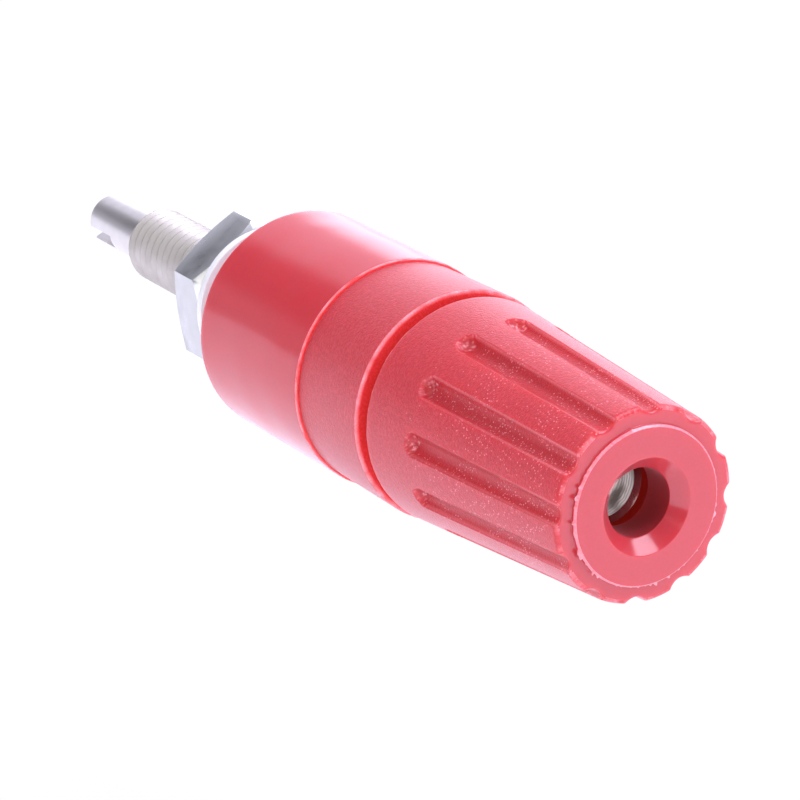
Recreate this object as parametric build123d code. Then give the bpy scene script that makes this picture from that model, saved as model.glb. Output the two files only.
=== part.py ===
from build123d import *
from math import cos, pi, radians, sqrt, tan
import os

# Insulated 4 mm binding post. The post lies along Y with the knob's face
# towards -Y. The origin is on the axis, at the sleeve's rear face, which
# seats on the front of a panel. Lengths are in millimetres.

# Insulating sleeve: smooth moulding whose rear face seats on the panel
sleeve_dia = 14.5
sleeve_length = 12.8
sleeve_front_edge = 0.15
sleeve_rear_edge = 0.3
spigot_play = 0.08
spigot_end_gap = 0.3
stud_play = 0.08

# Collar: textured moulding that carries the post's flange and locates the sleeve
collar_step = 0.05
collar_draft = 0.125
collar_dia = sleeve_dia - 2 * collar_step
collar_rear_dia = collar_dia - 2 * collar_draft
collar_length = 7.2
collar_edge = 0.12
spigot_dia = 10.0
spigot_length = 6.0
flange_seat_play = 0.05

# Terminal post: one turned piece, plug socket, thread, flange, stud and tip
thread_dia = 7.0
post_front_length = 16.3
undercut_length = 0.6
undercut_depth = 0.75
flange_dia = 10.0
flange_flats = 8.4
flange_thickness = 2.5
socket_dia = 4.06
socket_depth = 17.3
socket_lead_in = 0.3
drill_point_angle = 118.0
wire_hole_dia = 3.8
wire_hole_gap = 0.1
shank_dia = 4.4
stud_dia = 4.95
stud_thread_hidden = 2.5
stud_length = 20.5
stud_end_edge = 0.6
tip_dia = 3.4
tip_length = 6.8
tip_edge = 0.2
tip_slot_width = 1.0
tip_slot_depth = 3.2
tip_slot_turn = 25.0

# Knob: tapered cap with flutes, seen a little unscrewed
knob_gap = 1.0
knob_length = 19.5
knob_step = 0.2
knob_draft = 1.25
knob_rear_dia = sleeve_dia - 2 * knob_step
knob_front_dia = knob_rear_dia - 2 * knob_draft
knob_rear_edge = 0.15
knob_front_edge = 0.25
face_margin = 1.05
face_dia = knob_front_dia - 2 * face_margin
face_rise = 0.3
face_edge = 0.2
countersink_dia = 5.76
countersink_depth = 0.86
knob_hole_dia = 4.1
front_wall = 3.1
cavity_dia = 7.6
flute_count = 12
flute_radius = 0.75
flute_front_depth = 0.36
flute_rear_depth = 0.6
flute_rear_margin = 4.1
knob_turn = -3.7

# Knob insert: threaded metal bush moulded into the knob, under the flutes
insert_cover = 0.76
insert_length = 11.6
insert_groove_depth_share = 0.35
insert_groove_length = 1.6
knob_thread_play = 0.05

# Pressure washer: presses the wire and does not turn with the knob
knob_rim_wall = 1.25
pressure_washer_thickness = 1.2
pressure_washer_proud = 0.05
pressure_washer_play = 0.2
pressure_washer_dia = knob_rear_dia - 2 * (knob_rim_wall + pressure_washer_play)

# Tooth lock washer and hexagon nut behind the panel
panel_gap = 4.1
nut_sides = 6
nut_flats = 9.5
nut_thickness = 3.3
nut_chamfer_angle = 30.0
nut_thread_play = 0.05
nut_thread_lead_in = 0.4
nut_turn = 37.9
washer_dia = 10.0
washer_thickness = 0.6
washer_tooth_count = 8
washer_ring_width = 1.2
washer_tooth_gap_share = 0.6

# Overrun of the cutting tools past the faces that they cut
overrun = 1.0
full_turn = 360.0


def turned(outline):
    """Solid of revolution about Y from (radius, place along Y) points."""
    return revolve(make_face(Polyline(*outline, close=True)), Axis.Y, full_turn)


def rod(radius, start, end):
    """Round bar on the Y axis between two places."""
    return turned([(0, start), (radius, start), (radius, end), (0, end)])


def across_flats(flats, reach, start, end):
    """Slab between two flats that face +Z and -Z, between two places on Y."""
    slab = Box(2 * reach, end - start, flats)
    return slab.move(Location((0, (start + end) / 2, 0)))


# Places along Y that several pieces share
collar_rear = -sleeve_length
collar_front = collar_rear - collar_length
knob_rear = collar_front - knob_gap
knob_front = knob_rear - knob_length
flange_rear = collar_front + flange_thickness
post_front = collar_front - post_front_length
nut_place = panel_gap + washer_thickness
pressure_washer_rear = knob_rear + pressure_washer_proud
insert_rear = pressure_washer_rear - pressure_washer_thickness
insert_front = insert_rear - insert_length

# The flutes follow the knob's taper and deepen towards their rounded noses
taper = knob_draft / knob_length
nose_lift = flute_radius - flute_rear_depth
flute_nose = knob_rear - flute_rear_margin - sqrt(flute_radius**2 - nose_lift**2)
deepening = (flute_rear_depth - flute_front_depth) / (flute_nose - knob_front)


def knob_surface(place):
    """Radius of the knob's cone at a place along Y."""
    return knob_front_dia / 2 + taper * (place - knob_front)


def flute_floor(place):
    """Radius that the flutes leave at a place along Y."""
    depth = flute_front_depth + deepening * (place - knob_front)
    return knob_surface(place) - depth


insert_radius = flute_floor(insert_front) - insert_cover


def make_collar():
    outer, rear, spigot = collar_dia / 2, collar_rear_dia / 2, spigot_dia / 2
    spigot_end = collar_rear + spigot_length
    body = turned([
        (0, collar_front), (outer - collar_edge, collar_front),
        (outer, collar_front + collar_edge), (rear, collar_rear), (spigot, collar_rear),
        (spigot, spigot_end), (0, spigot_end),
    ])
    seat_radius = flange_dia / 2 + flange_seat_play
    seat_flats = flange_flats + 2 * flange_seat_play
    seat_start = collar_front - overrun
    seat = rod(seat_radius, seat_start, flange_rear)
    body -= seat & across_flats(seat_flats, flange_dia, seat_start, flange_rear)
    return body - rod(stud_dia / 2 + stud_play, collar_front, spigot_end + overrun)


def make_sleeve():
    outer = sleeve_dia / 2
    body = turned([
        (0, collar_rear), (outer - sleeve_front_edge, collar_rear),
        (outer, collar_rear + sleeve_front_edge), (outer, -sleeve_rear_edge),
        (outer - sleeve_rear_edge, 0), (0, 0),
    ])
    counterbore = spigot_dia / 2 + spigot_play
    counterbore_end = collar_rear + spigot_length + spigot_end_gap
    body -= rod(counterbore, collar_rear - overrun, counterbore_end)
    return body - rod(stud_dia / 2 + stud_play, counterbore_end - overrun, overrun)


def make_terminal_post():
    thread, stud, tip = thread_dia / 2, stud_dia / 2, tip_dia / 2
    root, shank = thread - undercut_depth, shank_dia / 2
    tip_end = stud_length + tip_length
    shaft = turned([
        (0, post_front), (thread, post_front),
        (thread, collar_front - undercut_length), (root, collar_front - undercut_length),
        (root, flange_rear), (shank, flange_rear), (shank, -stud_thread_hidden),
        (stud, -stud_thread_hidden), (stud, stud_length - stud_end_edge),
        (stud - stud_end_edge, stud_length),
        (tip, stud_length), (tip, tip_end - tip_edge), (tip - tip_edge, tip_end),
        (0, tip_end),
    ])
    flange = rod(flange_dia / 2, collar_front, flange_rear)
    shaft += flange & across_flats(flange_flats, flange_dia, collar_front, flange_rear)
    socket = socket_dia / 2
    socket_end = post_front + socket_depth
    drill_point = socket / tan(radians(drill_point_angle / 2))
    shaft -= turned([
        (0, post_front - overrun), (socket + socket_lead_in + overrun, post_front - overrun),
        (socket, post_front + socket_lead_in), (socket, socket_end),
        (0, socket_end + drill_point),
    ])
    hole_place = collar_front - wire_hole_gap - wire_hole_dia / 2
    hole = Cylinder(wire_hole_dia / 2, 2 * thread_dia, rotation=(0, 90, 0))
    shaft -= hole.move(Location((0, hole_place, 0)))
    slot_start = tip_end - tip_slot_depth
    slot = across_flats(tip_slot_width, tip_dia, slot_start, tip_end + overrun)
    shaft -= slot.rotate(Axis.Y, -tip_slot_turn)
    return shaft


def flute_cutter():
    """Ball-nosed cutter that runs deeper towards the rear, where its nose is."""
    start = knob_front - overrun
    path = Line(
        Vector(flute_floor(start) + flute_radius, start, 0),
        Vector(flute_floor(flute_nose) + flute_radius, flute_nose, 0),
    )
    section = Plane(path @ 0, z_dir=path % 0) * Circle(flute_radius)
    cutter = sweep(section, path)
    return cutter + Sphere(flute_radius).move(Location(path @ 1))


def make_knob():
    rear = knob_rear_dia / 2
    face = face_dia / 2
    shoulder = knob_front + face_rise
    shoulder_radius = knob_surface(shoulder)
    wall_end = knob_front + front_wall
    recess = rear - knob_rim_wall
    body = turned([
        (0, knob_front), (face - face_edge, knob_front), (face, knob_front + face_edge),
        (face, shoulder), (shoulder_radius - knob_front_edge, shoulder),
        (shoulder_radius, shoulder + knob_front_edge),
        (rear, knob_rear - knob_rear_edge), (rear - knob_rear_edge, knob_rear),
        (0, knob_rear),
    ])
    cutter = flute_cutter()
    pitch = full_turn / flute_count
    body -= [cutter.rotate(Axis.Y, -knob_turn - pitch * turn) for turn in range(flute_count)]
    hole = knob_hole_dia / 2
    mouth = countersink_dia / 2
    body -= turned([
        (0, knob_front), (mouth, knob_front), (hole, knob_front + countersink_depth),
        (hole, wall_end), (0, wall_end),
    ])
    body -= turned([
        (0, wall_end), (cavity_dia / 2, wall_end), (cavity_dia / 2, insert_front),
        (insert_radius, insert_front), (insert_radius, insert_rear), (recess, insert_rear),
        (recess, knob_rear), (0, knob_rear),
    ])
    return body + anchor_ring()


def insert_sizes():
    """Bore and groove radius of the insert, and where its groove starts and ends."""
    bore = thread_dia / 2 + knob_thread_play
    groove = insert_radius - (insert_radius - bore) * insert_groove_depth_share
    middle = (insert_front + insert_rear) / 2
    return bore, groove, middle - insert_groove_length / 2, middle + insert_groove_length / 2


def anchor_ring():
    """Plastic that fills the groove round the insert and holds it in the knob."""
    bore, groove, start, end = insert_sizes()
    return turned([
        (groove, start), (insert_radius, start), (insert_radius, end), (groove, end),
    ])


def make_knob_insert():
    bore, groove, start, end = insert_sizes()
    return turned([
        (bore, insert_front), (insert_radius, insert_front), (insert_radius, start),
        (groove, start), (groove, end), (insert_radius, end), (insert_radius, insert_rear),
        (bore, insert_rear),
    ])


def make_pressure_washer():
    outer = pressure_washer_dia / 2
    bore = thread_dia / 2 + knob_thread_play
    front = pressure_washer_rear - pressure_washer_thickness
    return turned([
        (bore, front), (outer, front), (outer, pressure_washer_rear),
        (bore, pressure_washer_rear),
    ])


def make_lock_washer():
    outer, bore = washer_dia / 2, stud_dia / 2 + stud_play
    ring = outer - washer_ring_width
    body = turned([(bore, panel_gap), (outer, panel_gap), (outer, nut_place), (bore, nut_place)])
    gap = 2 * pi * bore / washer_tooth_count * washer_tooth_gap_share
    notch = Box(ring, washer_thickness + 2 * overrun, gap)
    notch = notch.move(Location((ring / 2, (panel_gap + nut_place) / 2, 0)))
    pitch = full_turn / washer_tooth_count
    body -= [notch.rotate(Axis.Y, pitch * turn) for turn in range(washer_tooth_count)]
    return body


def make_hex_nut():
    start, end = nut_place, nut_place + nut_thickness
    corner = nut_flats / 2 / cos(pi / nut_sides)
    prism = extrude(Plane.XZ * RegularPolygon(corner, nut_sides), -nut_thickness)
    prism = prism.move(Location((0, start, 0))).rotate(Axis.Y, -nut_turn)
    flat = nut_flats / 2
    drop = (corner - flat) * tan(radians(nut_chamfer_angle))
    prism &= turned([
        (0, start), (flat, start), (corner, start + drop), (corner, end - drop),
        (flat, end), (0, end),
    ])
    bore = stud_dia / 2 + nut_thread_play
    mouth = bore + nut_thread_lead_in
    return prism - turned([
        (0, start), (mouth, start), (bore, start + nut_thread_lead_in),
        (bore, end - nut_thread_lead_in), (mouth, end), (0, end),
    ])


pieces = {
    "knob": make_knob(),
    "knob_insert": make_knob_insert(),
    "pressure_washer": make_pressure_washer(),
    "terminal_post": make_terminal_post(),
    "collar": make_collar(),
    "sleeve": make_sleeve(),
    "lock_washer": make_lock_washer(),
    "hex_nut": make_hex_nut(),
}

os.makedirs("parts", exist_ok=True)
for name, piece in pieces.items():
    export_step(piece, f"parts/{name}.step")
    print(name, round(piece.volume, 2))
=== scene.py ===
# %% [markdown]
# # A red binding post, dressed for the camera
# The real object is the insulated terminal that screws into the panel of a power
# supply or an amplifier. Its metal post runs through it from the plug socket in
# the knob to the solder tip behind the panel. The imported CAD model already holds
# every piece in its true place, so this lesson loads it, keeps what is right and
# rebuilds the visible pieces more finely on the same sizes.

# %% Load the imported model, with a helper that reads the box of a piece
import bpy
from math import atan2, cos, hypot, pi, radians, sin, sqrt, tan
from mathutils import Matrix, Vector, noise


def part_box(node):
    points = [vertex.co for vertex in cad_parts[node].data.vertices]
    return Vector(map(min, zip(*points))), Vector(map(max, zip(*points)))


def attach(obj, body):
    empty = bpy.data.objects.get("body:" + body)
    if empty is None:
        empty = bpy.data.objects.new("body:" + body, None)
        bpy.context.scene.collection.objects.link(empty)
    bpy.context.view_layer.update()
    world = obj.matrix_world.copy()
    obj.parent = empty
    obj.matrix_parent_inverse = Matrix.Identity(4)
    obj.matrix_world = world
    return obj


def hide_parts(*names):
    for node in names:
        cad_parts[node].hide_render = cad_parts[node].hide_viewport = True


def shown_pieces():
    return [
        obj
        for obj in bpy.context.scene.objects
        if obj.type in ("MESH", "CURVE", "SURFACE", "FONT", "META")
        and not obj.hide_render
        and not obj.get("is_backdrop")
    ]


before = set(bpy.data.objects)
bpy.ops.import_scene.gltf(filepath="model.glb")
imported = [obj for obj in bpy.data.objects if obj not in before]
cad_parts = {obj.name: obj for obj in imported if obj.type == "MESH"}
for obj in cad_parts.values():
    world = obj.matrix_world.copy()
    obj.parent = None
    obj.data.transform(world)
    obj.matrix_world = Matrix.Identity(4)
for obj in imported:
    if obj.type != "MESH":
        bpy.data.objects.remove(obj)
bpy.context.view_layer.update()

# %% [markdown]
# ## Lengths
# Blender works in metres here and a binding post is thought of in millimetres, so
# one constant turns one into the other. The places along the Y axis are read from
# the boxes of the CAD nodes, and only what a box can't tell is written as a number.

# %% Places along the axis, read from the CAD nodes
MM = 0.001


def ends(node):
    """First and last place of a CAD node along Y, and its largest radius, in mm."""
    low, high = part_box(node)
    return low[1] / MM, high[1] / MM, max(high[0], high[2]) / MM


knob_front, knob_rear, knob_radius = ends("knob")
insert_front, insert_rear, insert_radius = ends("knob_insert")
post_front, tip_end = ends("terminal_post")[:2]
collar_front, spigot_end, collar_radius = ends("collar")
sleeve_front, sleeve_rear, sleeve_radius = ends("sleeve")
nut_front, nut_rear = ends("hex_nut")[:2]
print(f"knob {knob_front:.2f} to {knob_rear:.2f} mm, radius {knob_radius:.2f} mm")
print(f"post {post_front:.2f} to {tip_end:.2f} mm, nut {nut_front:.2f} to {nut_rear:.2f} mm")

# %% [markdown]
# ## Turning a blank
# Every piece of a binding post starts round. By hand one would draw half of its
# section, vertex after vertex, and spin it round the axis, and the helper does just
# that with the same operators. Doubles are merged after the spin, which also closes
# the poles, and the normals are recalculated because a spin can turn them inwards.

# %% A helper that spins a section into a solid
def only(piece):
    """Leave this object alone selected and active."""
    bpy.ops.object.select_all(action="DESELECT")
    piece.select_set(True)
    bpy.context.view_layer.objects.active = piece


def spin_section(name, section, columns):
    """Solid that a closed section of (radius, place) points in mm sweeps round Y."""
    bpy.ops.object.select_all(action="DESELECT")
    bpy.ops.mesh.primitive_plane_add(size=MM)
    piece = bpy.context.object
    piece.name = piece.data.name = name
    bpy.ops.object.mode_set(mode="EDIT")
    bpy.ops.mesh.merge(type="CENTER")
    here = section[0]
    bpy.ops.transform.translate(value=(here[0] * MM, here[1] * MM, 0))
    for point in list(section[1:]) + [section[0]]:
        step = ((point[0] - here[0]) * MM, (point[1] - here[1]) * MM, 0)
        bpy.ops.mesh.extrude_region_move(TRANSFORM_OT_translate={"value": step})
        here = point
    bpy.ops.mesh.select_all(action="SELECT")
    bpy.ops.mesh.remove_doubles(threshold=0.002 * MM)
    bpy.ops.mesh.spin(steps=columns, angle=2 * pi, center=(0, 0, 0), axis=(0, 1, 0))
    bpy.ops.mesh.select_all(action="SELECT")
    bpy.ops.mesh.remove_doubles(threshold=0.002 * MM)
    bpy.ops.mesh.delete_loose()
    bpy.ops.mesh.select_all(action="SELECT")
    bpy.ops.mesh.normals_make_consistent(inside=False)
    bpy.ops.object.mode_set(mode="OBJECT")
    print(f"{name}: {len(piece.data.vertices)} vertices, {len(piece.data.polygons)} faces")
    return piece


# %% [markdown]
# A moulded or turned corner is never quite sharp, and its small radius is what
# catches the light as a thin bright line. The next helper takes a section whose
# points may carry a radius and replaces each of these corners by a short arc.

# %% A helper that rounds the corners of a section
def rounded(section, steps=4):
    """Points (radius, place, rounding) in mm; a rounding above zero becomes an arc."""
    result = []
    count = len(section)
    for index, point in enumerate(section):
        place = Vector(point[:2])
        radius = point[2] if len(point) > 2 else 0
        if not radius:
            result.append(tuple(place))
            continue
        to_last = (Vector(section[index - 1][:2]) - place).normalized()
        to_next = (Vector(section[(index + 1) % count][:2]) - place).normalized()
        half = to_last.angle(to_next) / 2
        centre = place + (to_last + to_next).normalized() * radius / sin(half)
        start = place + to_last * radius / tan(half) - centre
        end = place + to_next * radius / tan(half) - centre
        for step in range(steps + 1):
            share = step / steps
            spread = start.angle(end)
            weight_start = sin((1 - share) * spread) / sin(spread)
            weight_end = sin(share * spread) / sin(spread)
            result.append(tuple(centre + start * weight_start + end * weight_end))
    return result


def finish_shading(piece, degrees):
    """Smooth where the surface bends less than this, sharp at the real edges."""
    only(piece)
    bpy.ops.object.shade_smooth_by_angle(angle=radians(degrees))


# %% [markdown]
# Drilled holes, slots and the flats of a nut are cut by a second solid, as a drill
# or a mill would. A Boolean modifier does it, and applying it leaves a plain mesh.

# %% Helpers that cut or intersect two solids, and the box that mills a flat or a slot
def combine(piece, tool, operation):
    """Apply a Boolean of the tool to the piece, then remove the tool."""
    only(piece)
    boolean = piece.modifiers.new("cut", "BOOLEAN")
    boolean.operation = operation
    boolean.solver = "EXACT"
    boolean.object = tool
    bpy.ops.object.modifier_apply(modifier=boolean.name)
    bpy.data.objects.remove(tool, do_unlink=True)
    print(f"{piece.name}: {operation.lower()}, {len(piece.data.polygons)} faces")


def milling_box(place, sizes, turn=0.0):
    """Box centred on the axis at a place, its sizes in mm, turned round the axis by degrees."""
    bpy.ops.object.select_all(action="DESELECT")
    bpy.ops.mesh.primitive_cube_add(size=1, location=(0, place * MM, 0))
    box = bpy.context.object
    box.scale = tuple(size * MM for size in sizes)
    box.rotation_euler = (0, -radians(turn), 0)
    bpy.ops.object.transform_apply(location=True, rotation=True, scale=True)
    return box


# %% [markdown]
# The nut and the lock washer have edges that the plating softens. A Bevel modifier
# that looks at the angle between two faces finds these edges by itself.

# %% A helper that softens sharp edges
def soften_edges(piece, width, degrees):
    """Bevel the edges that bend more than an angle, by a width in mm."""
    only(piece)
    bevel = piece.modifiers.new("soft_edges", "BEVEL")
    bevel.width, bevel.segments = width * MM, 2
    bevel.limit_method, bevel.angle_limit = "ANGLE", radians(degrees)
    bpy.ops.object.modifier_apply(modifier=bevel.name)


# %% [markdown]
# Wear and mould marks, and painted highlights, glints and shade, are painted and pressed in
# vertex by vertex. Everything on this object is round, so a point is thought of by its place
# along the axis, its distance from it and its angle round it. A smooth noise that goes once
# round the rim, and meets itself, makes a worn edge ragged.

# %% Helpers that find a point of a round piece and roughen a rim
def round_place(point):
    """Place along the axis and distance from it in mm, and angle round it."""
    x, y, z = (c / MM for c in point)
    return y, hypot(x, z), atan2(z, x)


def share_of_one(value):
    """The value, held between 0 and 1."""
    return max(0.0, min(1.0, value))


def rim_noise(angle, lumps, seed):
    """Smooth noise round a rim; more lumps make it finer."""
    return noise.noise(Vector((cos(angle) * lumps, sin(angle) * lumps, seed)))


def new_attribute(piece, name):
    """A value for each vertex that a material can read by its name."""
    return piece.data.attributes.new(name, "FLOAT", "POINT").data


# %% [markdown]
# ## Colours and nodes
# A colour is written as it looks on a screen and Cycles wants it linear, so one
# function converts. A second one adds a shader node with its settings and links,
# which keeps every material readable from top to bottom, and a third opens a new
# material with the three nodes that each of them starts from.

# %% Helpers for materials
def linear(code):
    """Linear RGBA of an sRGB hex colour."""
    channels = [int(code[i:i + 2], 16) / 255 for i in (1, 3, 5)]
    curve = (c / 12.92 if c <= 0.04045 else ((c + 0.055) / 1.055) ** 2.4 for c in channels)
    return tuple(curve) + (1,)


def add(tree, kind, inputs=(), **settings):
    """New node of a kind; inputs maps a socket's name or number to a value or an output."""
    new = tree.nodes.new(kind)
    for key, value in settings.items():
        setattr(new, key, value)
    for key, value in dict(inputs).items():
        if isinstance(value, bpy.types.NodeSocket):
            tree.links.new(value, new.inputs[key])
        else:
            new.inputs[key].default_value = value
    return new


def new_material(name):
    """Empty node material with its tree, its surface shader and object coordinates."""
    material = bpy.data.materials.new(name)
    material.use_nodes = True
    tree = material.node_tree
    tree.nodes.clear()
    shader = add(tree, "ShaderNodeBsdfPrincipled")
    add(tree, "ShaderNodeOutputMaterial", {"Surface": shader.outputs[0]})
    place = add(tree, "ShaderNodeTexCoord").outputs["Object"]
    return material, tree, shader, place


# %% [markdown]
# ## Textured moulding: red ABS from a spark-eroded mould
# The knob and the collar come from a mould whose steel was eroded by sparks, so their skin is a
# field of shallow pits about 0.1 to 0.3 mm across that scatters the light and hides finger
# marks. Noise of two sizes makes the bump. The crests are rubbed a little paler than the pits,
# and a few crests are painted pale as painted glints. Red ABS isn't quite opaque either: light
# soaks a millimetre or two into it.

# %% Light soaks into red ABS
def let_light_in(shader):
    """Light enters ABS by up to 2 mm, red the deepest, and fills its narrow gaps."""
    shader.inputs["Subsurface Weight"].default_value = 0.6
    shader.inputs["Subsurface Radius"].default_value = (1.0, 0.14, 0.10)
    shader.inputs["Subsurface Scale"].default_value = 0.0022
    # Handling leaves a haze that shows where the surface turns away
    shader.inputs["Sheen Weight"].default_value = 0.13
    shader.inputs["Sheen Roughness"].default_value = 0.38
    shader.inputs["Sheen Tint"].default_value = (0.95, 0.92, 1.0, 1)


# %% Material of the knob and the collar
def textured_abs(name, glow_strength=0.0):
    """Eroded red ABS; the last argument is the strength of a painted glow, an emission that
    stands in for the light that reaches it from inside.
    """
    material, tree, shader, place = new_material(name)
    # Pits of about 0.2 mm with finer grain of 0.07 mm on them, in cycles per metre
    pits = add(tree, "ShaderNodeTexNoise", {"Vector": place, "Scale": 5200.0, "Detail": 2.0,
                                            "Roughness": 0.6})
    grain = add(tree, "ShaderNodeTexNoise", {"Vector": place, "Scale": 14000.0, "Detail": 1.0,
                                             "Roughness": 0.5})
    height = add(tree, "ShaderNodeMath", {0: pits.outputs[0], 1: grain.outputs[0]},
                 operation="ADD")
    bump = add(tree, "ShaderNodeBump", {"Height": height.outputs[0], "Strength": 0.5,
                                        "Distance": 0.00006})
    # Rubbed crests are paler, pits stay deep red
    rub = add(tree, "ShaderNodeMapRange", {0: pits.outputs[0], 1: 0.42, 2: 0.68, 3: 0.0,
                                           4: 1.0})
    rubbed = add(tree, "ShaderNodeMix", {0: rub.outputs[0], 6: linear("#BE222C"),
                                         7: linear("#CE343F")}, data_type="RGBA")
    # Painted shade: the flutes are painted a deeper, darker red than the rubbed lands
    groove = add(tree, "ShaderNodeAttribute", attribute_name="flute")
    deep = add(tree, "ShaderNodeMix", {0: groove.outputs["Fac"], 6: rubbed.outputs[2],
                                       7: linear("#C0101C")}, data_type="RGBA")
    # Painted glints: single crests of about 0.1 mm, thinly strewn, painted pale as if they
    # caught the light
    cells = add(tree, "ShaderNodeTexVoronoi", {"Vector": place, "Scale": 6000.0})
    speck = add(tree, "ShaderNodeMapRange", {0: cells.outputs["Distance"], 1: 0.10, 2: 0.34,
                                             3: 0.85, 4: 0.0})
    chance = add(tree, "ShaderNodeSeparateColor", {0: cells.outputs["Color"]})
    # In clusters of about 2 mm, and only where the knob's cell lets the attribute rise
    flock = add(tree, "ShaderNodeTexNoise", {"Vector": place, "Scale": 480.0, "Detail": 1.0})
    bare = add(tree, "ShaderNodeMapRange", {0: flock.outputs[0], 1: 0.38, 2: 0.62, 3: 0.0,
                                            4: 0.7})
    spread = add(tree, "ShaderNodeAttribute", attribute_name="glint_spread")
    share = add(tree, "ShaderNodeMath", {0: bare.outputs[0], 1: spread.outputs["Fac"]},
                operation="MULTIPLY")
    limit = add(tree, "ShaderNodeMath", {0: 1.0, 1: share.outputs[0]}, operation="SUBTRACT")
    rare = add(tree, "ShaderNodeMath", {0: chance.outputs[0], 1: limit.outputs[0]},
               operation="GREATER_THAN")
    amount = add(tree, "ShaderNodeMath", {0: speck.outputs[0], 1: rare.outputs[0]},
                 operation="MULTIPLY")
    glint_painted = add(tree, "ShaderNodeMix", {0: amount.outputs[0], 6: deep.outputs[2],
                                           7: linear("#F6A4AE")}, data_type="RGBA")
    # Worn edges, painted highlights along edges and painted glints at the flutes' ends carry an
    # attribute that the modelling cells paint
    edge = add(tree, "ShaderNodeAttribute", attribute_name="wear_and_painted_highlight")
    broken = add(tree, "ShaderNodeMapRange", {0: grain.outputs[0], 1: 0.35, 2: 0.6, 3: 0.55,
                                              4: 1.0})
    wear = add(tree, "ShaderNodeMath", {0: edge.outputs["Fac"], 1: broken.outputs[0]},
               operation="MULTIPLY")
    worn = add(tree, "ShaderNodeMix", {0: wear.outputs[0], 6: glint_painted.outputs[2],
                                       7: linear("#F2A0A8")}, data_type="RGBA")
    tree.links.new(worn.outputs[2], shader.inputs["Base Color"])
    tree.links.new(bump.outputs[0], shader.inputs["Normal"])
    shader.inputs["Roughness"].default_value = 0.31
    shader.inputs["IOR"].default_value = 1.53
    let_light_in(shader)
    # Painted glow: an emission stands in for the light piped through the moulding to a face
    # that lies in a narrow gap
    shader.inputs["Emission Color"].default_value = (1.0, 0.045, 0.03, 1)
    shader.inputs["Emission Strength"].default_value = glow_strength
    return material


spark_textured_abs = textured_abs("spark_textured_red_abs")
# Painted glow for the faces in narrow gaps and at joints
glowing_gap_abs = textured_abs("painted_glow_red_abs", 0.26)
print("material:", spark_textured_abs.name)

# %% [markdown]
# ## Polished moulding: the same red ABS from a smooth mould
# The sleeve comes from a polished mould and mirrors the room softly. Very shallow
# waves, a few millimetres long, come from the shrinking of the plastic and bend the
# reflections a little; a fine haze of handling keeps it from looking like glass.

# %% Material of the sleeve
def polished_abs(name, base, haze, low=0.12, high=0.2):
    """Red ABS from a smooth mould, between two colours and two roughnesses."""
    material, tree, shader, place = new_material(name)
    waves = add(tree, "ShaderNodeTexNoise", {"Vector": place, "Scale": 170.0, "Detail": 1.0})
    # Fine haze of about 0.15 mm
    dust = add(tree, "ShaderNodeTexNoise", {"Vector": place, "Scale": 6500.0, "Detail": 2.0})
    soft = add(tree, "ShaderNodeBump", {"Height": waves.outputs[0], "Strength": 0.8,
                                        "Distance": 0.00022})
    fine = add(tree, "ShaderNodeBump", {"Height": dust.outputs[0], "Strength": 0.06,
                                        "Distance": 0.00002, "Normal": soft.outputs[0]})
    shade = add(tree, "ShaderNodeMix", {0: dust.outputs[0], 6: linear(base), 7: linear(haze)},
                data_type="RGBA")
    rough = add(tree, "ShaderNodeMapRange", {0: dust.outputs[0], 1: 0.3, 2: 0.7, 3: low,
                                             4: high})
    tree.links.new(shade.outputs[2], shader.inputs["Base Color"])
    tree.links.new(rough.outputs[0], shader.inputs["Roughness"])
    tree.links.new(fine.outputs[0], shader.inputs["Normal"])
    shader.inputs["IOR"].default_value = 1.53
    let_light_in(shader)
    return material


glossy_abs = polished_abs("polished_red_abs", "#C02A32", "#C8343C")
print("material:", glossy_abs.name)

# %% [markdown]
# ## Metals: nickel-plated brass and zinc-plated steel
# The post is brass turned on an automatic lathe and barrel-plated with nickel: a
# slightly warm white metal with faint rings round the axis from the tool. Rolled
# threads come out duller, and the end that the last cut faced is nearly a mirror.
# The nut and its lock washer are steel with a zinc plate: cool and bright on the
# flats, and matt and pale, almost white, where the pressed faces were left rough.

# %% Materials of the metal pieces
def plated(name, bright, dull, low, high, ring_spacing, ring_strength=0.12):
    """Plated metal between two colours and two roughnesses, with rings from the tool."""
    material, tree, shader, place = new_material(name)
    # Tool rings round Y: a wave along Y whose period is the feed of the lathe, and a
    # Wave node of scale 1 repeats every 0.31 m
    rings = add(tree, "ShaderNodeTexWave", {"Vector": place, "Scale": 0.31 / ring_spacing,
                                            "Distortion": 1.5, "Detail": 2.0},
                bands_direction="Y")
    cloud = add(tree, "ShaderNodeTexNoise", {"Vector": place, "Scale": 900.0, "Detail": 3.0})
    shade = add(tree, "ShaderNodeMix", {0: cloud.outputs[0], 6: linear(bright),
                                        7: linear(dull)}, data_type="RGBA")
    rough = add(tree, "ShaderNodeMapRange", {0: cloud.outputs[0], 1: 0.3, 2: 0.7, 3: low,
                                             4: high})
    bump = add(tree, "ShaderNodeBump", {"Height": rings.outputs[0], "Strength": ring_strength,
                                        "Distance": 0.00001})
    tree.links.new(shade.outputs[2], shader.inputs["Base Color"])
    tree.links.new(rough.outputs[0], shader.inputs["Roughness"])
    tree.links.new(bump.outputs[0], shader.inputs["Normal"])
    shader.inputs["Metallic"].default_value = 1.0
    return material


nickel_plate = plated("nickel_plated_brass", "#CFCCC7", "#C6C2BC", 0.27, 0.36, 0.00016)
polished_end = plated("polished_end_of_brass", "#C4BEB8", "#A8A29C", 0.05, 0.09, 0.00040)
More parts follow.
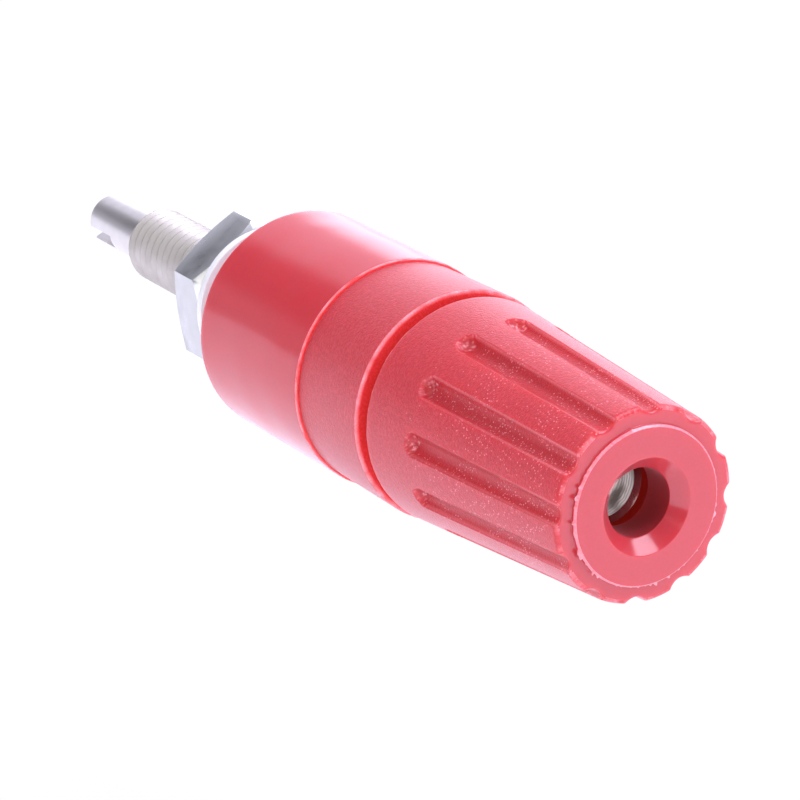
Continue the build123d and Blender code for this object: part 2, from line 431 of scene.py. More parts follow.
# The drilled hole also gets a painted glow, added further down
glowing_drilled_metal = plated("drilled_plated_brass_painted_glow", "#C4BEB8", "#8E8882", 0.42, 0.55, 0.00040, 0.9)
threaded_metal = plated("threaded_plated_brass", "#C0BCB6", "#B6B1AA", 0.52, 0.62, 0.00016)
zinc_plate = plated("zinc_plated_steel", "#C4C6C3", "#BABCBA", 0.26, 0.38, 0.00030)
# The matt zinc also gets a faint painted glow, added further down
matt_zinc_and_glow = plated("matt_zinc_plated_steel", "#EEEFF0", "#E4E6E8", 0.52, 0.62, 0.00030)
bare_brass = plated("machined_brass", "#E2C27E", "#CFAA62", 0.22, 0.34, 0.00015)
print("materials:", nickel_plate.name, zinc_plate.name, matt_zinc_and_glow.name, bare_brass.name)

# %% [markdown]
# The drilled hole gets a faint painted glow that stands in for the light reaching its wall, and
# a wave with noise breaks the glow into marks about a quarter of a millimetre wide, as the
# reamer left them. The matt zinc is a crust of fine crystals and looks more like pale paint
# than like metal, so it is only a quarter metallic, and it gets a fainter painted glow.

# %% Painted glow of the drilled hole, and the pale zinc with a fainter painted glow
bore_tree = glowing_drilled_metal.node_tree
bore_place = add(bore_tree, "ShaderNodeTexCoord").outputs["Object"]
marks = add(bore_tree, "ShaderNodeTexWave", {"Vector": bore_place, "Scale": 1300.0,
                                             "Distortion": 6.0, "Detail": 2.0},
            bands_direction="Y")
faint = add(bore_tree, "ShaderNodeMapRange", {0: marks.outputs[0], 3: 0.3, 4: 1.0})
patches = add(bore_tree, "ShaderNodeTexNoise", {"Vector": bore_place, "Scale": 750.0,
                                                "Detail": 1.0})
spread = add(bore_tree, "ShaderNodeMapRange", {0: patches.outputs[0], 1: 0.40, 2: 0.62, 3: 0.02,
                                               4: 0.45})
bore_glow = add(bore_tree, "ShaderNodeMath", {0: faint.outputs[0], 1: spread.outputs[0]},
            operation="MULTIPLY")
bore_shader = bore_tree.nodes["Principled BSDF"]
bore_shader.inputs["Emission Color"].default_value = (1.0, 0.86, 0.89, 1)
bore_tree.links.new(bore_glow.outputs[0], bore_shader.inputs["Emission Strength"])
zinc_glow_shader = matt_zinc_and_glow.node_tree.nodes["Principled BSDF"]
zinc_glow_shader.inputs["Metallic"].default_value = 0.25
# Painted glow: a faint emission brightens the pale zinc
zinc_glow_shader.inputs["Emission Color"].default_value = (0.9, 0.9, 0.92, 1)
zinc_glow_shader.inputs["Emission Strength"].default_value = 0.06
print("glow of the bore:", bore_shader.inputs["Emission Strength"].is_linked)

# %% [markdown]
# ## The knob
# The knob is a tapered moulding with twelve ball-nosed flutes for the fingers, a
# raised disc on its face and a countersunk hole for the plug. Cutting the flutes
# with Booleans would leave razor edges that no mould makes. Instead the plain body
# is spun with fine rows and columns, and each vertex is pressed in as far as the
# cutter reaches, with a smooth minimum that rounds the flute's edge.

# %% Sizes of the knob that its box doesn't tell
front_radius, face_radius, face_rise = 5.8, 4.75, 0.3
flute_count, flute_radius, flute_margin = 12, 0.75, 4.1
flute_front_depth, flute_rear_depth = 0.36, 0.6
flute_turn = -3.7
mouth_radius, mouth_depth, hole_radius = 2.88, 0.86, 2.05
wall_end, cavity_radius, recess_radius = knob_front + 3.1, 3.8, 5.8
groove_radius, groove_start, groove_end = insert_radius - 0.508, -28.75, -27.15
shoulder = knob_front + face_rise
# The face disc ends in a small chamfer
edge_out, edge_in, edge_depth = 0.03, 0.1, 0.14
taper = (knob_radius - front_radius) / (knob_rear - knob_front)
nose_lift = flute_radius - flute_rear_depth
flute_nose = knob_rear - flute_margin - sqrt(flute_radius ** 2 - nose_lift ** 2)


def cone_radius(place):
    """Radius of the knob's cone at a place, in mm."""
    return front_radius + taper * (place - knob_front)


def flute_depth(place):
    """How far a flute cuts into the cone at a place, in mm."""
    share = (place - knob_front) / (flute_nose - knob_front)
    return flute_front_depth + (flute_rear_depth - flute_front_depth) * min(1.0, share)


print(f"taper {taper:.4f}, flute nose centre at {flute_nose:.2f} mm")

# %% Section of the knob, with fine rows where the flutes run
row_pitch, nose_row_pitch, first_row = 0.32, 0.075, shoulder + 0.3
row_count = int((flute_nose - 0.4 - first_row) / row_pitch) + 1
rows = [first_row + row_pitch * k for k in range(row_count)]
rows += [flute_nose - 0.3 + nose_row_pitch * k for k in range(17)]
rows += [flute_nose + 1.3, flute_nose + 2.4, knob_rear - 1.2, knob_rear - 0.5]
cone = [(cone_radius(y), y) for y in rows]
knob_section = rounded([
    (mouth_radius, knob_front, 0.08), (mouth_radius + 0.2, knob_front),
    (face_radius - 0.3, knob_front), (face_radius - edge_in, knob_front, 0.04),
    (face_radius, knob_front + edge_depth, 0.04), (face_radius + edge_out, shoulder, 0.06),
    (5.1, shoulder), (5.35, shoulder),
    (cone_radius(shoulder), shoulder, 0.28),
] + cone + [
    (knob_radius, knob_rear, 0.16),
    (recess_radius, knob_rear, 0.1), (recess_radius, insert_rear), (insert_radius, insert_rear),
    (insert_radius, groove_end), (groove_radius, groove_end), (groove_radius, groove_start),
    (insert_radius, groove_start), (insert_radius, insert_front), (cavity_radius, insert_front),
    (cavity_radius, wall_end), (hole_radius, wall_end), (hole_radius,
                                                         knob_front + mouth_depth + 0.25),
    (hole_radius, knob_front + mouth_depth, 0.1), (2.19, knob_front + 0.715),
    (2.74, knob_front + 0.145),
])
knob = spin_section("fluted_knob", knob_section, 480)

# %% [markdown]
# The cutter is a ball-nosed rod that lies along the taper. At a given angle and
# place it leaves a known radius, worked out from the circle of its section. The
# ring between the face disc and the flutes is drawn in by the same share, so the
# front shows the same scalloped outline as the real knob.

# %% What the cutter leaves
def smooth_minimum(first, second, width):
    """The smaller of two values, with a rounded change from one to the other."""
    blend = share_of_one(0.5 + 0.5 * (second - first) / width)
    return second + (first - second) * blend - width * blend * (1 - blend)


NO_FLUTE = 99.0


def flute_floor(angle, place):
    """Radius that the nearest flute leaves at this angle and place, in mm."""
    pitch = 2 * pi / flute_count
    offset = (angle - radians(flute_turn) + pitch / 2) % pitch - pitch / 2
    reach = flute_radius ** 2 - max(0.0, place - flute_nose) ** 2
    centre = cone_radius(place) + flute_radius - flute_depth(place)
    inside = reach - (centre * sin(offset)) ** 2
    return centre * cos(offset) - sqrt(inside) if inside > 0 else NO_FLUTE


print(f"floor of a flute at its middle: {flute_floor(radians(flute_turn), -30):.2f} mm")

# %% [markdown]
# The same loop that moves a vertex also knows how near it is to a flute's lip, so it paints the
# marks: the lips are paler, partly as wear and partly as a painted highlight, the rough ball
# ends get painted glints, the flutes are painted a deeper red as painted shade, and painted
# glints gather as specks in the flutes and near the front.

# %% Press the flutes in and mark their worn edges
edge_wear_and_highlight = new_attribute(knob, "wear_and_painted_highlight")
glint_spread = new_attribute(knob, "glint_spread")
flute_shade = new_attribute(knob, "flute")
front_ring = shoulder + 0.22
for vertex in knob.data.vertices:
    y, radius, angle = round_place(vertex.co)
    if radius < face_radius + edge_out or y > flute_nose + 1.0 or y < knob_front + 0.01:
        continue
    if radius < cone_radius(y) - 0.6 and y > shoulder + 0.5:
        continue
    skin = cone_radius(max(y, front_ring))
    floor = flute_floor(angle, y)
    near_front = max(0.0, 1 - (y - shoulder) / 1.6)
    cut = smooth_minimum(skin, floor, 0.11 + 0.3 * near_front ** 2)
    # Pale lips of the flutes: partly wear, partly a painted highlight
    wear = max(0.0, 1.0 - abs(floor - skin) / 0.2) * 0.5
    # Painted glints in the round ends of the flutes
    if y > flute_nose - 0.1 and floor < skin - 0.3:
        wear = share_of_one(4.0 * noise.noise(vertex.co / MM * 5.0) - 0.5)
    edge_wear_and_highlight[vertex.index].value = wear
    # Painted shade: how deep the vertex lies in a flute, which the material paints darker
    flute_shade[vertex.index].value = share_of_one((skin - floor - 0.02) / 0.15)
    # Painted glints gather in the flutes and toward the front
    toward_front = share_of_one((-25.0 - y) / 6.0)
    in_flute = 0.5 if floor < skin - 0.15 else 0.0
    glint_spread[vertex.index].value = 0.12 + 0.7 * toward_front + in_flute
    if y < front_ring:
        share = (cut - face_radius) / (skin - face_radius)
        cut = face_radius + (radius - face_radius) * share
    vertex.co.x, vertex.co.z = cut * cos(angle) * MM, cut * sin(angle) * MM
print("flutes pressed in:", flute_count)

# %% [markdown]
# Where the two halves of the mould met round the face disc, a little plastic crept
# out and was torn off, which left a ragged pale line, strongest at the lower left.
# The same happened along the knob's rear rim. Noise round the rim moves its vertices
# out and forward by up to a fifth of a millimetre, and the attribute paints it paler.

# %% Ragged flash round the face disc and the rear rim
for vertex in knob.data.vertices:
    y, radius, angle = round_place(vertex.co)
    ragged = rim_noise(angle, 9, 0.3) + 0.6 * rim_noise(angle, 30, 4)
    lower_left = 0.5 + 0.5 * cos(angle - radians(235))
    if face_radius - 0.06 < radius < face_radius + 0.02 and y < shoulder - 0.1:
        torn = max(0.0, rim_noise(angle, 16, 4) - 0.08) * lower_left
        out = radius + 0.45 * torn
        vertex.co = (out * cos(angle) * MM, (y - 0.3 * torn) * MM, out * sin(angle) * MM)
    if y < shoulder + 0.14 and radius > 5.35:
        edge_wear_and_highlight[vertex.index].value = min(0.7, share_of_one(0.18 + 0.6 * ragged))
    if y > knob_rear - 0.12 and radius > knob_radius - 0.2:
        edge_wear_and_highlight[vertex.index].value = share_of_one(0.30 + 0.5 * ragged)
        vertex.co.y += 0.05 * max(0.0, ragged) * MM
finish_shading(knob, 32)
knob.data.materials.append(spark_textured_abs)
print("knob:", len(knob.data.polygons), "faces")

# %% [markdown]
# The face disc and the countersink come from a smooth insert of the mould, so these faces get a
# polished material while the rest keeps the texture. The disc's chamfer is painted pale as a
# painted highlight, the wall of the hole is rougher and painted darker as painted shade, and
# the cavity behind it is dark but for a painted glow that stands in for the light that soaks
# through the moulding.

# %% Finishes of the face, its edge, the hole and the cavity
smooth_face_abs = polished_abs("smooth_moulded_red_abs", "#BE343D", "#C53D46")
# Painted highlight: the chamfer of the face disc is painted pale
highlight_edge_abs = polished_abs("painted_highlight_edge_red_abs", "#DE6672", "#F0A2AC")
# Painted shade: the wall of the hole is painted a darker red, and it is rougher
shaded_hole_abs = polished_abs("painted_shade_hole_red_abs", "#98141E", "#A01A24", 0.6, 0.7)
# The end of the post mirrors the wall of the cavity, which gets a painted glow that stands in
# for the light that soaks through to it
glowing_cavity_abs = textured_abs("painted_glow_cavity_red_abs", 0.15)
TEXTURED, SMOOTH, HIGHLIGHT_EDGE, SHADED_HOLE, GLOWING_CAVITY = range(5)
for finish in (smooth_face_abs, highlight_edge_abs, shaded_hole_abs, glowing_cavity_abs):
    knob.data.materials.append(finish)
near = 0.1
hole_start = knob_front + mouth_depth + 0.05
# Painted highlight on the chamfer, painted shade on the wall of the hole, painted glow in the
# cavity
for face in knob.data.polygons:
    y, radius, angle = round_place(face.center)
    on_edge = face_radius - 0.13 < radius < face_radius + 0.2 and y < knob_front + edge_depth
    on_disc = radius < 5.6 and y < shoulder + near
    in_hole = radius < mouth_radius + near and y < wall_end + near
    on_hole_wall = radius < hole_radius + 0.02 and hole_start < y < wall_end + near
    in_cavity = wall_end - 0.02 < y < insert_front + 0.05 and radius < cavity_radius + near
    if in_cavity and radius > hole_radius + near:
        face.material_index = GLOWING_CAVITY
    elif on_hole_wall:
        face.material_index = SHADED_HOLE
    elif on_edge:
        face.material_index = HIGHLIGHT_EDGE
    elif on_disc or in_hole:
        face.material_index = SMOOTH
smooth_faces = sum(face.material_index == SMOOTH for face in knob.data.polygons)
textured_faces = sum(face.material_index == TEXTURED for face in knob.data.polygons)
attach(knob, "knob")
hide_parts("knob")
print("smooth faces:", smooth_faces, "textured faces:", textured_faces)

# %% [markdown]
# ## The collar
# The collar is a textured ring that tapers slightly to the rear and carries a
# spigot on which the sleeve sits. Its hidden side is modelled too, because the part
# can be taken apart. The flange of the post sits in a pocket of its front face.
# Where it faces a narrow gap, and at its rear edge where it meets the sleeve, it gets a painted
# glow that stands in for the light reaching it through the plastic.

# %% Spin the collar
bore_radius, spigot_radius, seat_radius, flange_rear = 2.555, 5.0, 5.05, -17.5
collar_rear_radius, collar_rear = 7.075, sleeve_front
collar_section = rounded([
    (seat_radius, collar_front, 0.06), (6.2, collar_front), (collar_radius - 0.3, collar_front),
    (collar_radius, collar_front, 0.14), (collar_radius - 0.005, collar_front + 0.28),
    (collar_radius - 0.06, collar_front + 3.6), (collar_rear_radius + 0.005,
                                                 collar_rear - 0.25),
    (collar_rear_radius, collar_rear, 0.1),
    (spigot_radius, collar_rear), (spigot_radius, spigot_end), (bore_radius, spigot_end),
    (bore_radius, flange_rear), (seat_radius, flange_rear),
])
collar = spin_section("textured_collar", collar_section, 288)

# %% Wear its front edge pale, partly as a painted highlight, and paint a glow on its narrow gaps
collar_wear_and_highlight = new_attribute(collar, "wear_and_painted_highlight")
# Painted highlight: the collar's front edge is painted pale and ragged, as a worn edge
for vertex in collar.data.vertices:
    y, radius, angle = round_place(vertex.co)
    ragged = rim_noise(angle, 12, 7)
    if y < collar_front + 0.10 and radius > collar_radius - 0.16:
        collar_wear_and_highlight[vertex.index].value = share_of_one(0.75 + ragged)
        vertex.co.y -= 0.03 * max(0.0, ragged) * MM
finish_shading(collar, 32)
GLOWING_GAP = 1
collar.data.materials.append(spark_textured_abs)
collar.data.materials.append(glowing_gap_abs)
# Painted glow on the front face in the gap and on the rear edge at the joint
for face in collar.data.polygons:
    y, radius, angle = round_place(face.center)
    in_gap = y < collar_front + 0.05 and radius > seat_radius
    in_joint = y > collar_rear - 0.12 and radius > collar_rear_radius - 0.15
    if in_gap or in_joint:
        face.material_index = GLOWING_GAP
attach(collar, "terminal")
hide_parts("collar")
print("collar:", len(collar.data.polygons), "faces")

# %% [markdown]
# ## The sleeve
# The sleeve is the smooth rear half of the insulation and seats on the panel. It is
# spun with rounded rims, because its gloss would show every flat of the CAD mesh.

# %% Spin the sleeve
counter_radius, counter_end = 5.08, -6.5
sleeve_section = rounded([
    (counter_radius, sleeve_front), (sleeve_radius - 0.4, sleeve_front),
    (sleeve_radius, sleeve_front, 0.16), (sleeve_radius, sleeve_front + 0.3),
    (sleeve_radius, sleeve_front / 2), (sleeve_radius, sleeve_rear - 0.6),
    (sleeve_radius, sleeve_rear, 0.34), (sleeve_radius - 0.7, sleeve_rear),
    (bore_radius, sleeve_rear, 0.1), (bore_radius, counter_end), (counter_radius, counter_end),
], steps=6)
sleeve = spin_section("glossy_sleeve", sleeve_section, 288)
finish_shading(sleeve, 32)

# %% Wear its front edge pale, partly as a painted highlight, and paint a glow on the joint with the collar
sleeve_wear_and_highlight = new_attribute(sleeve, "wear_and_painted_highlight")
# Painted highlight: the sleeve's front edge is painted pale and ragged, as a worn edge
for vertex in sleeve.data.vertices:
    y, radius, angle = round_place(vertex.co)
    if y < sleeve_front + 0.17 and radius > sleeve_radius - 0.07:
        ragged = rim_noise(angle, 1.5 * radius, 7)
        sleeve_wear_and_highlight[vertex.index].value = share_of_one(0.6 + ragged)
sleeve.data.materials.append(glossy_abs)
sleeve.data.materials.append(glowing_gap_abs)
# Painted glow on the front rim at the joint with the collar
for face in sleeve.data.polygons:
    y, radius, angle = round_place(face.center)
    if y < sleeve_front + 0.16 and radius > sleeve_radius - 0.35:
        face.material_index = GLOWING_GAP
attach(sleeve, "terminal")
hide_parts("sleeve")
print("sleeve:", len(sleeve.data.polygons), "faces")

# %% [markdown]
# ## The terminal post
# The post is one turned piece of plated brass. Its threads are real helices: the
# outline of one turn of thread is drawn as a short line of vertices and the Screw
# modifier winds it round the axis. The ends are cut square with a bisect.

# %% A helper that winds a threaded rod
# Steps along one turn of thread: rise as a share of its depth, advance as one of the pitch
THREAD_OUTLINE = ((0, 0.10), (0.5, 0.20), (0.42, 0.17), (0.08, 0.05),
                  (0, 0.06), (-0.08, 0.05), (-0.42, 0.17), (-0.5, 0.20))


def wind_thread(name, radius, pitch, depth, start, end):
    """Closed threaded rod round Y between two places, all in mm."""
    bpy.ops.object.select_all(action="DESELECT")
    bpy.ops.mesh.primitive_plane_add(size=MM)
    rod = bpy.context.object
    rod.name = rod.data.name = name
    bpy.ops.object.mode_set(mode="EDIT")
    bpy.ops.mesh.merge(type="CENTER")
    bpy.ops.transform.translate(value=((radius - depth) * MM, (start - 2.5 * pitch) * MM, 0))
    for rise, advance in THREAD_OUTLINE:
        step = (rise * depth * MM, advance * pitch * MM, 0)
        bpy.ops.mesh.extrude_region_move(TRANSFORM_OT_translate={"value": step})
    bpy.ops.object.mode_set(mode="OBJECT")
    screw = rod.modifiers.new("thread", "SCREW")
    screw.axis, screw.screw_offset, screw.angle = "Y", pitch * MM, 2 * pi
    screw.iterations = int((end - start) / pitch) + 6
    screw.steps = screw.render_steps = 72
    screw.use_merge_vertices, screw.merge_threshold = True, 0.002 * MM
    bpy.ops.object.modifier_apply(modifier=screw.name)
    bpy.ops.object.mode_set(mode="EDIT")
    bpy.ops.mesh.select_all(action="SELECT")
    bpy.ops.mesh.remove_doubles(threshold=0.002 * MM)
    for place, side in ((start, -1), (end, 1)):
        bpy.ops.mesh.select_all(action="SELECT")
        bpy.ops.mesh.bisect(plane_co=(0, place * MM, 0), plane_no=(0, side, 0),
                            clear_outer=True, use_fill=True, threshold=0.0001 * MM)
    bpy.ops.mesh.select_all(action="SELECT")
    bpy.ops.mesh.normals_make_consistent(inside=False)
    bpy.ops.object.mode_set(mode="OBJECT")
    print(f"{name}: {len(rod.data.polygons)} faces")
    return rod


# %% Wind the rear stud and turn its end chamfer
stud_radius, stud_end, stud_chamfer = 2.475, 20.5, 0.6
stud = wind_thread("threaded_stud", stud_radius, 0.8, 0.42, -2.5, stud_end)
for vertex in stud.data.vertices:
    y, radius, angle = round_place(vertex.co)
    limit = min(stud_radius, stud_radius + (stud_end - stud_chamfer) - y)
    if radius > limit:
        vertex.co.x *= limit / radius
        vertex.co.z *= limit / radius
finish_shading(stud, 40)

# %% [markdown]
# The solder tip at the far end is a thin pin with a slot sawn across it. It is
# turned from a section with a rounded end, and a flat box cuts the slot.

# %% Turn and slot the solder tip
tip_radius, slot_width, slot_depth, slot_turn = 1.7, 1.0, 3.2, 25.0
tip = spin_section("slotted_tip", rounded([
    (0, stud_end - 0.6), (tip_radius, stud_end - 0.6), (tip_radius, tip_end, 0.22), (0,
                                                                                     tip_end),
]), 96)
saw_length = 4
saw = milling_box(tip_end - slot_depth + saw_length / 2, (8, saw_length, slot_width), slot_turn)
combine(tip, saw, "DIFFERENCE")
finish_shading(tip, 32)

# %% [markdown]
# The front half is a threaded tube, drilled from its end for the plug and across
# for a bare wire. Both drills are cut by Booleans, the plug's with its lead-in cone.

# %% Wind the front thread and drill it
thread_radius, undercut, root_radius, shank_radius = 3.5, 0.6, 2.75, 2.2
tube = wind_thread("threaded_tube", thread_radius, 0.75, 0.42, post_front,
                   collar_front - undercut)
socket_radius, socket_end, lead_in = 2.03, post_front + 17.3, 0.3
drill_end, past = socket_end - 1.5, 1
drill = spin_section("plug_drill", [
    (0, post_front - past), (socket_radius + lead_in + past, post_front - past),
    (socket_radius, post_front + lead_in), (socket_radius, drill_end), (0, drill_end),
], 96)
combine(tube, drill, "DIFFERENCE")
bpy.ops.object.select_all(action="DESELECT")
wire_hole_radius, wire_hole_gap = 1.9, 0.1
wire_hole_place = collar_front - wire_hole_gap - wire_hole_radius
bpy.ops.mesh.primitive_cylinder_add(
    vertices=64, radius=wire_hole_radius * MM, depth=14 * MM,
    location=(0, wire_hole_place * MM, 0), rotation=(0, pi / 2, 0))
cross_drill = bpy.context.object
bpy.ops.object.transform_apply(location=True, rotation=True, scale=True)
combine(tube, cross_drill, "DIFFERENCE")
finish_shading(tube, 40)

# %% [markdown]
# Between the two threads sit the plain shank and the flange, whose two flats keep
# the post from turning in the collar. All the lengths are joined into one object,
# because the real post is one piece of metal.

# %% Turn the shank and the flange, and join the post
flange_flats, shank_end = 8.4, socket_end - 1.7
shank = spin_section("plain_shank", [
    (0, shank_end), (root_radius, shank_end), (root_radius, flange_rear),
    (shank_radius, flange_rear), (shank_radius, -2.3), (0, -2.3),
], 96)
flange = spin_section("post_flange", rounded([
    (0, collar_front), (5.0, collar_front, 0.08), (5.0, flange_rear), (0, flange_rear),
]), 128)
flats = milling_box((collar_front + flange_rear) / 2, (12, 6, flange_flats))
combine(flange, flats, "INTERSECT")
finish_shading(shank, 32)
finish_shading(flange, 32)

# %% Join the lengths and give each surface its finish
only(tube)
for piece in (stud, tip, shank, flange):
    piece.select_set(True)
bpy.ops.object.join()
post = bpy.context.object
post.name = post.data.name = "plated_post"
post.data.materials.clear()
DRILLED, THREADED, END = 1, 2, 3
for finish in (nickel_plate, glowing_drilled_metal, threaded_metal, polished_end):
    post.data.materials.append(finish)
for face in post.data.polygons:
    y, radius, angle = round_place(face.center)
    if y < post_front + lead_in - 0.01:
        face.material_index = END
    elif y < socket_end and radius < socket_radius + 0.02:
        face.material_index = DRILLED
    elif y > 0 and radius > tip_radius + 0.1:
        face.material_index = THREADED
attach(post, "terminal")
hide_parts("terminal_post")
print("post:", len(post.data.polygons), "faces")

# %% [markdown]
# ## The nut and its lock washer
# The nut is a hexagonal prism whose corners are turned off by a cone at both ends.
# A six-sided cylinder is intersected with a spun lens, and the threaded hole is cut
# through it. A narrow bevel softens the edges as the plating does.

# %% Shape the nut
nut_flats, nut_turn, chamfer_angle = 9.5, 37.9, 30
corner = nut_flats / sqrt(3)
corner_drop = (corner - nut_flats / 2) * tan(radians(chamfer_angle))
bpy.ops.object.select_all(action="DESELECT")
bpy.ops.mesh.primitive_cylinder_add(
    vertices=6, radius=corner * MM, depth=(nut_rear - nut_front) * MM,
    location=(0, (nut_front + nut_rear) / 2 * MM, 0), rotation=(pi / 2, 0, 0))
nut = bpy.context.object
nut.name = nut.data.name = "plated_nut"
bpy.ops.object.transform_apply(location=True, rotation=True, scale=True)
now = round_place(nut.data.vertices[0].co)[2]
nut.rotation_euler = (0, now - radians(nut_turn), 0)
bpy.ops.object.transform_apply(location=False, rotation=True, scale=False)

# %% Turn its corners off and tap it
lens = spin_section("corner_cone", [
    (0, nut_front), (nut_flats / 2, nut_front), (corner + 0.01, nut_front + corner_drop),
    (corner + 0.01, nut_rear - corner_drop), (nut_flats / 2, nut_rear), (0, nut_rear),
], 144)
combine(nut, lens, "INTERSECT")
tap_radius, tap_lead_in = stud_radius + 0.05, 0.4
mouth = tap_radius + tap_lead_in + past
tap = spin_section("nut_tap", [
    (0, nut_front - past), (mouth, nut_front - past), (tap_radius, nut_front + tap_lead_in),
    (tap_radius, nut_rear - tap_lead_in), (mouth, nut_rear + past), (0, nut_rear + past),
], 96)
combine(nut, tap, "DIFFERENCE")

# %% Soften the nut and hand it over
soften_edges(nut, 0.07, 25)
finish_shading(nut, 35)
PRESSED = 1
nut.data.materials.clear()
nut.data.materials.append(zinc_plate)
nut.data.materials.append(matt_zinc_and_glow)
for face in nut.data.polygons:
    if face.normal.y < -0.9:
        face.material_index = PRESSED
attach(nut, "nut")
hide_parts("hex_nut")
print("nut:", len(nut.data.polygons), "faces")

# %% [markdown]
# The lock washer's shape is right as it comes, apart from its knife-sharp edges. A
# copy of its mesh is merged into one skin, and a bevel breaks the edges.

# %% Soften a copy of the lock washer
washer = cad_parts["lock_washer"].copy()
washer.data = washer.data.copy()
washer.name = washer.data.name = "toothed_washer"
washer.parent = None
bpy.context.collection.objects.link(washer)
only(washer)
bpy.ops.object.mode_set(mode="EDIT")
bpy.ops.mesh.select_all(action="SELECT")
bpy.ops.mesh.remove_doubles(threshold=0.002 * MM)
bpy.ops.mesh.dissolve_limited(angle_limit=radians(1))
bpy.ops.object.mode_set(mode="OBJECT")
soften_edges(washer, 0.05, 40)
finish_shading(washer, 35)
washer.data.materials.clear()
washer.data.materials.append(matt_zinc_and_glow)
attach(washer, "washer")
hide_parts("lock_washer")
print("washer:", len(washer.data.polygons), "faces")

# %% [markdown]
# ## Hidden metal
# The threaded insert in the knob and the pressure washer show only when the knob is
# unscrewed. Their CAD shapes are right, so they only get their real materials.

# %% Finish the hidden pieces
for name, finish in (("knob_insert", bare_brass), ("pressure_washer", nickel_plate)):
    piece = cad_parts[name]
    for index in range(len(piece.material_slots)):
        piece.material_slots[index].material = finish
    print(name, "gets", finish.name)

# %% [markdown]
# ## Floor
# A binding post is photographed on white paper. The floor is a wide sheet whose
# diffuse share keeps the soft shadow. For the camera it mostly glows white, and for
# the mirror-like sleeve and the metal it glows as lit paper does, more brightly in
# front of the object than behind it. The tint is that of a cool sky.

# %% Lay the floor
SKY_TINT = (0.97, 0.95, 1.16, 1)
bpy.ops.object.select_all(action="DESELECT")
bpy.ops.mesh.primitive_plane_add(size=6, location=(0, 0, -0.030))
floor = bpy.context.object
floor.name = "paper_floor"
bpy.ops.object.transform_apply(location=True, rotation=False, scale=False)
paper = bpy.data.materials.new("white_paper")
paper.use_nodes = True
tree = paper.node_tree
tree.nodes.clear()
fibre = add(tree, "ShaderNodeTexNoise", {"Scale": 900.0})
tone = add(tree, "ShaderNodeMix", {0: fibre.outputs[0], 6: linear("#F4F4F4"),
                                   7: linear("#F8F8F8")}, data_type="RGBA")
matt = add(tree, "ShaderNodeBsdfDiffuse", {"Color": tone.outputs[2]})
seen = add(tree, "ShaderNodeEmission", {"Color": (1, 1, 1, 1), "Strength": 1.0})
floor_spot = add(tree, "ShaderNodeTexCoord").outputs["Object"]
floor_place = add(tree, "ShaderNodeSeparateXYZ", {0: floor_spot})
nearness = add(tree, "ShaderNodeMapRange", {0: floor_place.outputs[1], 1: -0.08, 2: 0.0, 3: 2.9,
                                            4: 1.55}, interpolation_type="SMOOTHSTEP")
mirrored = add(tree, "ShaderNodeEmission", {"Color": SKY_TINT, "Strength": nearness.outputs[0]})
path = add(tree, "ShaderNodeLightPath")
camera_share = add(tree, "ShaderNodeMath", {0: path.outputs["Is Camera Ray"], 1: 0.93},
                   operation="MULTIPLY")
first_mix = add(tree, "ShaderNodeMixShader", {0: camera_share.outputs[0], 1: matt.outputs[0],
                                              2: seen.outputs[0]})
glossy_share = add(tree, "ShaderNodeMath", {0: path.outputs["Is Glossy Ray"], 1: 0.8},
                   operation="MULTIPLY")
second_mix = add(tree, "ShaderNodeMixShader", {0: glossy_share.outputs[0],
                                               1: first_mix.outputs[0], 2: mirrored.outputs[0]})
add(tree, "ShaderNodeOutputMaterial", {"Surface": second_mix.outputs[0]})
floor.data.materials.append(paper)
floor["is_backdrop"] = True
print("floor at z =", floor.data.vertices[0].co.z)

# %% [markdown]
# ## Light
# The photograph was taken in a bright white surround. The world is that surround,
# painted patch by patch as the glossy pieces mirror it. It is brightest straight
# behind the object. One dim patch behind it and to the left is the dark band on the
# sleeve and on the nut, and a wide dim one on the camera's side is where the
# photographer stands. A high window on the right gives the pale top rims, and a
# glow stands along the horizon. A direction is compared with the middle of each
# patch by a dot product, and the camera itself sees plain white.

# %% Helpers that paint the surround
world = bpy.data.worlds.new("white_surround")
bpy.context.scene.world = world
world.use_nodes = True
tree = world.node_tree
tree.nodes.clear()


def heading(azimuth, elevation):
    """Unit vector; azimuth 0 is +Y and 90 is +X, in degrees."""
    a, e = radians(azimuth), radians(elevation)
    return sin(a) * cos(e), cos(a) * cos(e), sin(e)


direction = add(tree, "ShaderNodeTexCoord").outputs["Generated"]


def patch(azimuth, elevation, inner, outer):
    """1 inside a cone round a heading, 0 outside a wider one."""
    facing = add(tree, "ShaderNodeVectorMath", {0: direction, 1: heading(azimuth, elevation)},
                 operation="DOT_PRODUCT")
    spot = add(tree, "ShaderNodeMapRange", {0: facing.outputs["Value"], 1: cos(radians(outer)),
                                            2: cos(radians(inner))},
               interpolation_type="SMOOTHSTEP")
    return spot.outputs[0]


print("a patch faces", [round(c, 2) for c in heading(32, 22)])

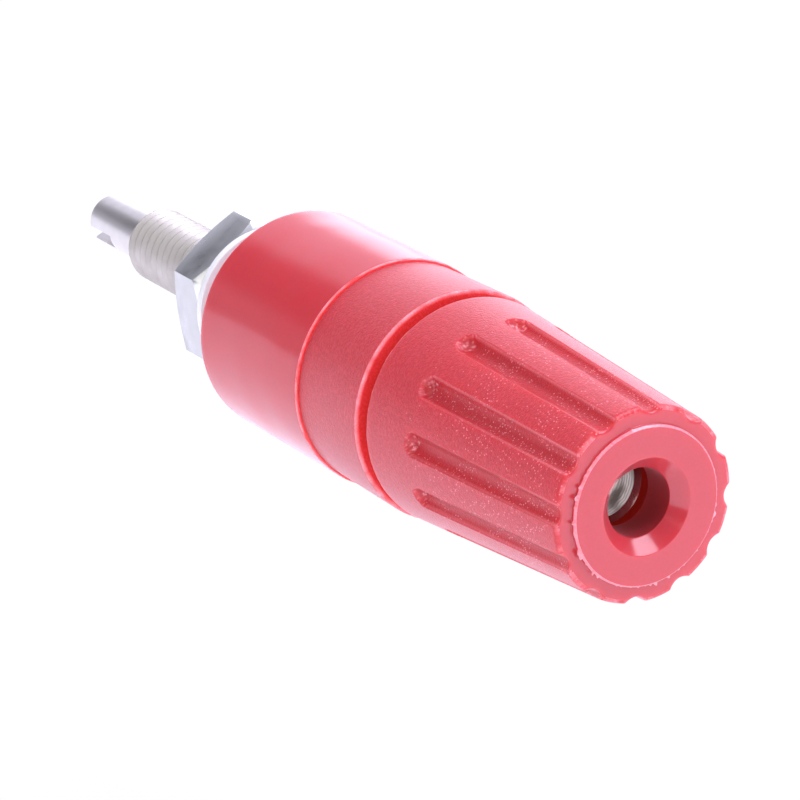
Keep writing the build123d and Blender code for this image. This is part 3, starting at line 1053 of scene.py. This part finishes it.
# %% Paint the surround
bright = add(tree, "ShaderNodeMath", {0: patch(32, 22, 15, 50), 1: 0.6, 2: 0.62},
             operation="MULTIPLY_ADD")
dim = add(tree, "ShaderNodeMix", {0: patch(-20, 26, 6, 20), 2: bright.outputs[0], 3: 0.20})
front = add(tree, "ShaderNodeMix", {0: patch(-128, 30, 20, 60), 2: dim.outputs[0], 3: 0.2})
window = add(tree, "ShaderNodeMix", {0: patch(120, 57, 18, 23), 2: front.outputs[0], 3: 7.5})
horizon = add(tree, "ShaderNodeMix", {0: patch(38, 4, 12, 24), 2: window.outputs[0], 3: 2.6})
path = add(tree, "ShaderNodeLightPath")
level = add(tree, "ShaderNodeMix", {0: path.outputs["Is Camera Ray"], 2: horizon.outputs[0],
                                    3: 1.0})
tint = add(tree, "ShaderNodeMix", {0: path.outputs["Is Camera Ray"], 6: SKY_TINT, 7: (1, 1, 1,
                                                                                      1)},
           data_type="RGBA")
background = add(tree, "ShaderNodeBackground", {"Color": tint.outputs[2],
                                                "Strength": level.outputs[0]})
add(tree, "ShaderNodeOutputWorld", {"Surface": background.outputs[0]})
print("world:", world.name)

# %% [markdown]
# Two soft lamps give the light a direction. A large one hangs high on the left, on
# the camera's side, so that the flutes have a lit and a shaded side and the object a
# soft shadow. A smaller one stands near the camera and shines into the plug hole:
# it makes the face disc paler than the sides and glints in the round end of each
# flute.

# %% Hang the two soft lamps
def hang_softbox(name, place, target, width, height, energy):
    """Rectangular area lamp in metres and watts, facing a target."""
    bpy.ops.object.light_add(type="AREA", location=place)
    lamp = bpy.context.object
    lamp.name = name
    lamp.data.shape = "RECTANGLE"
    lamp.data.size, lamp.data.size_y = width, height
    lamp.data.energy = energy
    lamp.rotation_euler = (Vector(target) - lamp.location).to_track_quat("-Z", "Y").to_euler()
    print(f"{name}: {energy} W")


hang_softbox("softbox", (-0.34, -0.02, 0.46), (0, -0.01, 0), 0.5, 0.4, 1.24)
hang_softbox("front_softbox", (-0.20, -0.50, 0.10), (0, -0.04, 0), 0.35, 0.35, 0.85)

# %% [markdown]
# ## Camera
# The viewpoint was worked out from the ellipses of the knob, the collar and the
# sleeve in the photograph: a long lens, about 30 degrees round to the left and 18
# degrees up, a quarter of a metre away.

# %% Set the camera
bpy.ops.object.camera_add(location=(-0.12261, -0.22770, 0.07996))
camera = bpy.context.object
camera.rotation_euler = Vector((0.4705, 0.8249, -0.3133)).to_track_quat("-Z", "Y").to_euler()
camera.data.sensor_width = 36
camera.data.sensor_fit = "HORIZONTAL"
camera.data.lens = 191.75
camera.data.clip_start = 0.01
bpy.context.scene.camera = camera
bpy.context.scene.view_settings.view_transform = "Standard"
print("camera lens:", camera.data.lens)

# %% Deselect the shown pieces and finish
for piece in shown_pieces():
    piece.select_set(False)
